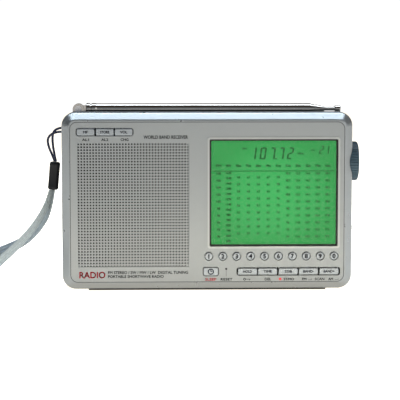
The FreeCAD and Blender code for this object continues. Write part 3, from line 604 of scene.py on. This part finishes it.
def make_webbing():
    """The band: tilted to show its face near the sleeve, and standing on its edge at the far loop."""
    holder = route_curve("webbing_path", WEBBING_ROUTE_MM)
    path = points_along(holder)
    bpy.data.objects.remove(holder)
    section = webbing_section()
    total = length_of(path)
    bm = bmesh.new()
    rings = []
    gone = 0.0
    for i, p in enumerate(path):
        if i:
            gone += (p - path[i - 1]).length
        along = (path[min(i + 1, len(path) - 1)] - path[max(i - 1, 0)]).normalized()
        level = Vector((along.y, -along.x, 0)).normalized()
        near_end = min(gone, total - gone) / (WEBBING_TURNED_SHARE * total)
        turn = WEBBING_END_TURN * (1 - min(1.0, near_end)) ** WEBBING_TURN_POWER
        rise = level.cross(along).normalized()
        out = (level * math.cos(turn) + rise * math.sin(turn)).normalized()
        wide = along.cross(out).normalized()
        rings.append([bm.verts.new(p + wide * a + out * o) for a, o in section])
    for low, high in zip(rings, rings[1:]):
        for i in range(len(section)):
            j = (i + 1) % len(section)
            bm.faces.new((low[i], low[j], high[j], high[i]))
    bm.faces.new(rings[0][::-1])
    bm.faces.new(rings[-1])
    band = smooth(piece_from("webbing", bm, PAINT["webbing_grey"], "case"), 60)
    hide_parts("strap_webbing")


def make_sleeve():
    """The crimped sleeve that joins the thin cord to the webbing."""
    top = Vector(mm(*SLEEVE_TOP_MM))
    bottom = Vector(mm(*SLEEVE_BOTTOM_MM))
    axis = (top - bottom).normalized()
    side = Vector((0, 1, 0)).cross(axis).normalized()
    depth = axis.cross(side).normalized()
    half_w, half_d = SLEEVE_WIDTH_MM / 2 * MM, SLEEVE_DEPTH_MM / 2 * MM
    bm = bmesh.new()
    rings = []
    for t, grow in SLEEVE_PROFILE:
        centre = bottom + (top - bottom) * t
        ring = []
        for i in range(SLEEVE_SIDES):
            angle = 2 * math.pi * i / SLEEVE_SIDES
            c, s = math.cos(angle), math.sin(angle)
            px = math.copysign(abs(c) ** SLEEVE_SQUARENESS, c) * half_w * grow
            py = math.copysign(abs(s) ** SLEEVE_SQUARENESS, s) * half_d * grow
            ring.append(bm.verts.new(centre + side * px + depth * py))
        rings.append(ring)
    for low, high in zip(rings, rings[1:]):
        for i in range(SLEEVE_SIDES):
            j = (i + 1) % SLEEVE_SIDES
            bm.faces.new((low[i], low[j], high[j], high[i]))
    bm.faces.new(rings[0][::-1])
    bm.faces.new(rings[-1])
    sleeve = smooth(piece_from("sleeve", bm, PAINT["black_plastic"], "case"), 50)
    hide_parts("strap_sleeve")


# ---------------------------------------------------------------- face panel and speaker grille

PANEL_CORNER_R = 4.0 * MM
SEAM_WIDTH = 0.3 * MM
DISPLAY_CORNER_R = 0.7 * MM
DISPLAY_BORDER = 1.0 * MM
CORNER_STEPS = 8
GRILLE_COLUMNS, GRILLE_ROWS = 38, 43
GRILLE_HOLE_R = 0.54 * MM
GRILLE_HOLE_SIDES = 12
GRILLE_CORNER_R = 1.2 * MM
GRILLE_LIP = 0.25 * MM
GRILLE_PROUD = 0.03 * MM
GRILLE_FIRST = mm(-73.25, 14.3)
GRILLE_LAST = mm(-11.0, 84.0)


def rounded_outline(x0, x1, z0, z1, r):
    """The four corners of a rounded rectangle as runs of points, starting with the lower left one."""
    corners = ((x0 + r, z0 + r, 180), (x1 - r, z0 + r, 270), (x1 - r, z1 - r, 0), (x0 + r, z1 - r, 90))
    quarters = []
    for cx, cz, begin in corners:
        arc = [math.radians(begin + 90 * i / CORNER_STEPS) for i in range(CORNER_STEPS + 1)]
        quarters.append([(cx + r * math.cos(a), cz + r * math.sin(a)) for a in arc])
    return quarters


def flat_frame(name, outer, inner, y):
    """A thin black frame; outer and inner are (x0, x1, z0, z1, corner radius)."""
    bm = bmesh.new()
    loops = []
    for rectangle in (inner, outer):
        points = [point for quarter in rounded_outline(*rectangle) for point in quarter]
        for level in (y, y + INK_DEPTH):
            loops.append([bm.verts.new((px, level, pz)) for px, pz in points])
    inner_front, inner_back, outer_front, outer_back = loops
    for ring_a, ring_b in ((inner_front, outer_front), (outer_front, outer_back),
                           (outer_back, inner_back), (inner_back, inner_front)):
        for i in range(len(ring_a)):
            j = (i + 1) % len(ring_a)
            bm.faces.new((ring_a[i], ring_a[j], ring_b[j], ring_b[i]))
    piece_from(name, bm, PAINT["black_plastic"], "case")


def grown_rectangle(low, high, grow, r):
    """A box's front outline, grown all round, with its corner radius grown as much."""
    return (low.x - grow, high.x + grow, low.z - grow, high.z + grow, r + grow)


def make_dark_frames():
    """A black ring of painted shade all round the face panel, standing for the shadow in its fine gap, and
    the black border printed behind the display window.
    """
    # Painted shade: a thin black ring where the gap round the face panel is in shadow.
    flat_frame(
        "panel_gap_painted_shade",
        grown_rectangle(PANEL_LOW, PANEL_HIGH, SEAM_WIDTH / 2, PANEL_CORNER_R),
        grown_rectangle(PANEL_LOW, PANEL_HIGH, -SEAM_WIDTH / 2, PANEL_CORNER_R),
        FACE_Y - INK_LIFT,
    )
    low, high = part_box("display_mask")
    flat_frame(
        "display_border",
        grown_rectangle(low, high, 0, DISPLAY_CORNER_R),
        grown_rectangle(low, high, -DISPLAY_BORDER, DISPLAY_CORNER_R + DISPLAY_BORDER),
        low.y - INK_LIFT,
    )


def make_grille():
    """The perforated plate: a grid of cells, each with a round hole, inside a plain border."""
    low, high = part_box("speaker_grille")
    pitch_x = (GRILLE_LAST[0] - GRILLE_FIRST[0]) / (GRILLE_COLUMNS - 1)
    pitch_z = (GRILLE_LAST[1] - GRILLE_FIRST[1]) / (GRILLE_ROWS - 1)
    xs = [GRILLE_FIRST[0] + (i - 0.5) * pitch_x for i in range(GRILLE_COLUMNS + 1)]
    zs = [GRILLE_FIRST[1] + (j - 0.5) * pitch_z for j in range(GRILLE_ROWS + 1)]
    half_corner = CORNER_STEPS // 2
    hole_quarter = GRILLE_HOLE_SIDES // 4
    quarters = rounded_outline(low.x - GRILLE_LIP, high.x + GRILLE_LIP, low.z - GRILLE_LIP,
                               high.z + GRILLE_LIP, GRILLE_CORNER_R)
    bm = bmesh.new()
    layers = []
    for y in (low.y - GRILLE_PROUD, high.y):
        grid = [[bm.verts.new((x, y, z)) for z in zs] for x in xs]
        rim = [[bm.verts.new((x, y, z)) for x, z in quarter] for quarter in quarters]
        edge_runs = (
            [column[0] for column in grid],
            grid[-1],
            [column[-1] for column in grid[::-1]],
            grid[0][::-1],
        )
        for k, run in enumerate(edge_runs):
            here, following = rim[k], rim[(k + 1) % 4]
            bm.faces.new(here[half_corner:] + following[:half_corner + 1] + run[::-1])
        holes = []
        for i in range(GRILLE_COLUMNS):
            for j in range(GRILLE_ROWS):
                cx, cz = (xs[i] + xs[i + 1]) / 2, (zs[j] + zs[j + 1]) / 2
                round_points = circle(cx, cz, GRILLE_HOLE_R, GRILLE_HOLE_SIDES, math.pi / 4)
                hole = [bm.verts.new((px, y, pz)) for px, pz in round_points]
                square = (grid[i + 1][j + 1], grid[i][j + 1], grid[i][j], grid[i + 1][j])
                for k in range(4):
                    first = hole_quarter * k
                    arc = [hole[(first + m) % GRILLE_HOLE_SIDES] for m in range(hole_quarter + 1)]
                    bm.faces.new([square[k]] + arc + [square[(k + 1) % 4]])
                holes.append(hole)
        layers.append((rim, holes))
    (rim_front, holes_front), (rim_back, holes_back) = layers
    outline_front = [v for quarter in rim_front for v in quarter]
    outline_back = [v for quarter in rim_back for v in quarter]
    for front, back in [(outline_front, outline_back)] + list(zip(holes_front, holes_back)):
        for i in range(len(front)):
            j = (i + 1) % len(front)
            bm.faces.new((front[i], front[j], back[j], back[i]))
    grille = piece_from("grille_plate", bm, PAINT["face_silver"], "case")
    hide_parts("speaker_grille")


# ---------------------------------------------------------------- lettering on the face and keys

LEGEND_BOLD = 0.075 * MM
LEGEND_HEIGHT = 1.35 * MM
LEGEND_Z = 6.6
KEY_DIGIT_HEIGHT = 2.5 * MM
KEY_LABEL_HEIGHT = 1.4 * MM


def make_legends():
    """Everything printed on the face, and a disc of painted shade over the reset hole; the tables are in
    millimetres.
    """
    y = FACE_Y - INK_LIFT
    dark = bmesh.new()
    for words, x, z, width in (
        ("AL1", -69.1, 86.6, 3.9), ("AL2", -58.2, 86.6, 3.9), ("CHG", -47.0, 86.6, 4.4),
        ("RESET", 10.9, LEGEND_Z, 6.6), ("DEL", 34.6, LEGEND_Z, 3.6), ("ST/MO", 46.6, LEGEND_Z, 5.8),
        ("FM", 55.4, LEGEND_Z, 2.4), ("SCAN", 64.2, LEGEND_Z, 5.4), ("AM", 70.6, LEGEND_Z, 2.6),
    ):
        lettering(dark, words, x * MM, z * MM, LEGEND_HEIGHT, y, width * MM, bold=LEGEND_BOLD)
    for words, x, z, width, height in (
        ("WORLD BAND RECEIVER", -36.2, 88.0, 25.0, 1.9),
        ("FM STEREO / SW / MW / LW  DIGITAL TUNING", -56.7, 10.7, 45.6, 1.6),
        ("PORTABLE SHORTWAVE RADIO", -56.7, 8.4, 31.6, 1.5),
    ):
        lettering(dark, words, x * MM, z * MM, height * MM, y, width * MM, "LEFT", bold=LEGEND_BOLD)
    reset_line = (10.62, 10.78, 8.2, 11.9)
    lock_shank = (22.0, 24.6, 6.45, 6.75)
    lock_bit = (23.9, 24.2, 5.9, 6.45)
    strokes = [reset_line, lock_shank, lock_bit]
    for x in (58.6, 74.0):
        strokes += [(x - 1.0, x + 1.0, 6.0, 6.2), (x + 0.8, x + 1.0, 6.2, 6.9)]
    for stroke in strokes:
        prism(dark, bar(*mm(*stroke)), y, y + INK_DEPTH)
    # Painted shade: a dark disc over the reset hole, standing for the shadow in its recess.
    reset_hole_painted_shade = circle(*mm(10.7, 12.6, 0.62), 20)
    prism(dark, reset_hole_painted_shade, y, y + INK_DEPTH)
    ring_plate(dark, *mm(21.2, LEGEND_Z, 0.75, 0.35), y, y + INK_DEPTH, 24)
    piece_from("legends_and_painted_shade", dark, DARK_INK_AND_PAINTED_SHADE, "case")
    red = bmesh.new()
    lettering(red, "SLEEP", *mm(1.9, LEGEND_Z, 1.45), y, 6.4 * MM, bold=LEGEND_BOLD)
    lettering(red, "RADIO", *mm(-73.0, 9.3, 3.6), y, 14.6 * MM, "LEFT", bold=2 * LEGEND_BOLD)
    prism(red, circle(*mm(41.6, 6.7, 0.75), 24), y, y + INK_DEPTH)
    piece_from("legends_red", red, INK_RED, "case")


def front_of(node):
    """The middle of a node's front as (x, z), and the depth at which ink lies on it."""
    low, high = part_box(node)
    return (low.x + high.x) / 2, (low.z + high.z) / 2, low.y - INK_LIFT


def make_key_faces():
    """The digit, label or symbol on each key, riding with its key."""
    for digit in "1234567890":
        node = f"key_{digit}"
        x, z, y = front_of(node)
        bm = bmesh.new()
        lettering(bm, digit, x, z, KEY_DIGIT_HEIGHT, y, bold=2.3 * LEGEND_BOLD)
        piece_from(f"digit_{digit}", bm, INK_KEY, BODY_OF[node])
    names = (
        ("key_mode", "MF", 2.6), ("key_store", "STORE", 5.2), ("key_volume", "VOL", 4.0),
        ("key_hold", "HOLD", 5.0), ("key_time", "TIME", 4.6), ("key_sideband", "SSB", 4.2),
        ("key_band_down", "BAND-", 6.0), ("key_band_up", "BAND+", 6.2),
    )
    for node, words, width in names:
        x, z, y = front_of(node)
        bm = bmesh.new()
        lettering(bm, words, x, z, KEY_LABEL_HEIGHT, y, width * MM, bold=1.3 * LEGEND_BOLD)
        piece_from(f"label_{node[4:]}", bm, INK_KEY, BODY_OF[node])
    make_power_symbol()


def make_power_symbol():
    """A ring with two hands, like a small clock."""
    x, z, y = front_of("key_power")
    bm = bmesh.new()
    ring_plate(bm, x, z, *mm(1.75, 1.15), y, y + INK_DEPTH)
    minute_hand = bar(x - 0.25 * MM, x + 0.25 * MM, z - 0.1 * MM, z + 0.95 * MM)
    hour_hand = bar(x + 0.25 * MM, x + 0.8 * MM, z - 0.1 * MM, z + 0.3 * MM)
    for hand in (minute_hand, hour_hand):
        prism(bm, hand, y, y + INK_DEPTH)
    piece_from("power_symbol", bm, INK_KEY, BODY_OF["key_power"])


# ---------------------------------------------------------------- what the display shows

SEGMENTS = {"0": "abcdef", "1": "bc", "2": "abged", "7": "abc"}
SEGMENT_SLANT = 0.12
# Width of a digit, thickness of a bar and gap between bars, all as shares of the digit's height.
SEGMENT_WIDE, SEGMENT_THICK, SEGMENT_GAP = 0.50, 0.13, 0.02


def seven_segment(bm, digit, x, z, height, y):
    """One digit whose lower left corner is at (x, z)."""
    wide, thick, gap = height * SEGMENT_WIDE, height * SEGMENT_THICK, height * SEGMENT_GAP
    half = height / 2
    levels = {"a": height - thick, "g": half - thick / 2, "d": 0}
    shapes = {}
    for name, level in levels.items():
        shapes[name] = bar(thick + gap, wide - thick - gap, level, level + thick)
    for name, side, low, high in (
        ("f", 0, half, height), ("b", wide - thick, half, height),
        ("e", 0, 0, half), ("c", wide - thick, 0, half),
    ):
        shapes[name] = bar(side, side + thick, low + gap, high - gap)
    for name in SEGMENTS[digit]:
        outline = [(x + px + SEGMENT_SLANT * pz, z + pz) for px, pz in shapes[name]]
        prism(bm, outline, y, y + INK_DEPTH)


def make_display():
    """The frequency, the memory number and their small labels, above the table of bands."""
    glass_low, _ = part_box("lcd_glass")
    y = glass_low.y - INK_LIFT * 2
    strong = bmesh.new()
    for digit, x in (("1", 24.0), ("0", 29.6), ("7", 34.8), ("7", 39.9), ("2", 45.2)):
        seven_segment(strong, digit, *mm(x, 75.1, 6.9), y)
    decimal_point = circle(*mm(39.2, 75.5, 0.5), 12)
    prism(strong, decimal_point, y, y + INK_DEPTH)
    for digit, x in (("2", 63.6), ("1", 66.6)):
        seven_segment(strong, digit, *mm(x, 78.0, 4.9), y)
    for words, x, z, height, width in (
        ("FM", 21.2, 81.2, 1.3, 2.6), ("MHz", 53.2, 78.4, 1.2, 3.6), ("ch", 60.0, 80.4, 1.1, 2.4),
    ):
        lettering(strong, words, *mm(x, z, height), y, width * MM, bold=LEGEND_BOLD)
    piece_from("lcd_readout", strong, LCD_INK, "case")
    make_band_table(y)


COLUMN_FIRST_MM, COLUMN_PITCH_MM = 6.4, 5.665
ROW_PITCH_MM = 4.02
ROW_TOP_MM = 67.1
LOW_BAND_TOP_MM = 64.9
MEDIUM_WAVE_TOP_MM, MEDIUM_WAVE_PITCH_MM = 67.4, 3.0
LAST_LOW_BAND_COLUMN = 6
HEADING_Z_MM = 71.5
TABLE_DIGIT_WIDTH_MM = 0.72
TABLE_BOLD = 1.5 * LEGEND_BOLD
BANDS = ("FM", "MW", "90m", "75m", "60m", "49m", "41m", "31m", "25m", "22m", "19m", "16m")
BAND_STARTS = (0, 0, 3.2, 3.9, 4.7, 5.9, 7.1, 9.4, 11.6, 13.5, 15.1, 17.5)


def column_rows(column, start):
    """The (height in millimetres, number) pairs of one column, from the top down."""
    if column == 0:
        return [(ROW_TOP_MM - ROW_PITCH_MM * i, str(108 - 2 * i)) for i in range(10)]
    if column == 1:
        return [(MEDIUM_WAVE_TOP_MM - MEDIUM_WAVE_PITCH_MM * i, str(1620 - 80 * i)) for i in range(14)]
    if column <= LAST_LOW_BAND_COLUMN:
        return [(LOW_BAND_TOP_MM - ROW_PITCH_MM * i, f"{start + 0.1 * (8 - i):.1f}") for i in range(9)]
    return [(ROW_TOP_MM - ROW_PITCH_MM * i, f"{start + 0.1 * (9 - i):.1f}") for i in range(10)]


def make_band_table(y):
    """Twelve columns of frequencies under their band names, as a scale printed in the display."""
    table = bmesh.new()
    heavy = bmesh.new()
    for column, (band, start) in enumerate(zip(BANDS, BAND_STARTS)):
        x = COLUMN_FIRST_MM + column * COLUMN_PITCH_MM
        lettering(heavy, band, *mm(x, HEADING_Z_MM, 1.5), y, 2.9 * MM, bold=TABLE_BOLD)
        for z, words in column_rows(column, start):
            width = TABLE_DIGIT_WIDTH_MM * len(words.replace(".", "")) + 0.2
            lettering(table, words, *mm(x, z, 1.3), y, width * MM, bold=TABLE_BOLD)
    low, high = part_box("display_mask")
    rule = bar(low.x + 2 * MM, high.x - 2 * MM, *mm(68.25, 68.7))
    prism(heavy, rule, y, y + INK_DEPTH)
    piece_from("lcd_headings", heavy, LCD_INK, "case")
    piece_from("lcd_table", table, LCD_FAINT, "case")


# ---------------------------------------------------------------- everything

bpy.context.scene.view_settings.view_transform = "Standard"
make_camera()
dress_cad_nodes()
make_strap_cord()
make_webbing()
make_sleeve()
make_stage()
make_dark_frames()
make_grille()
make_legends()
make_key_faces()
make_display()
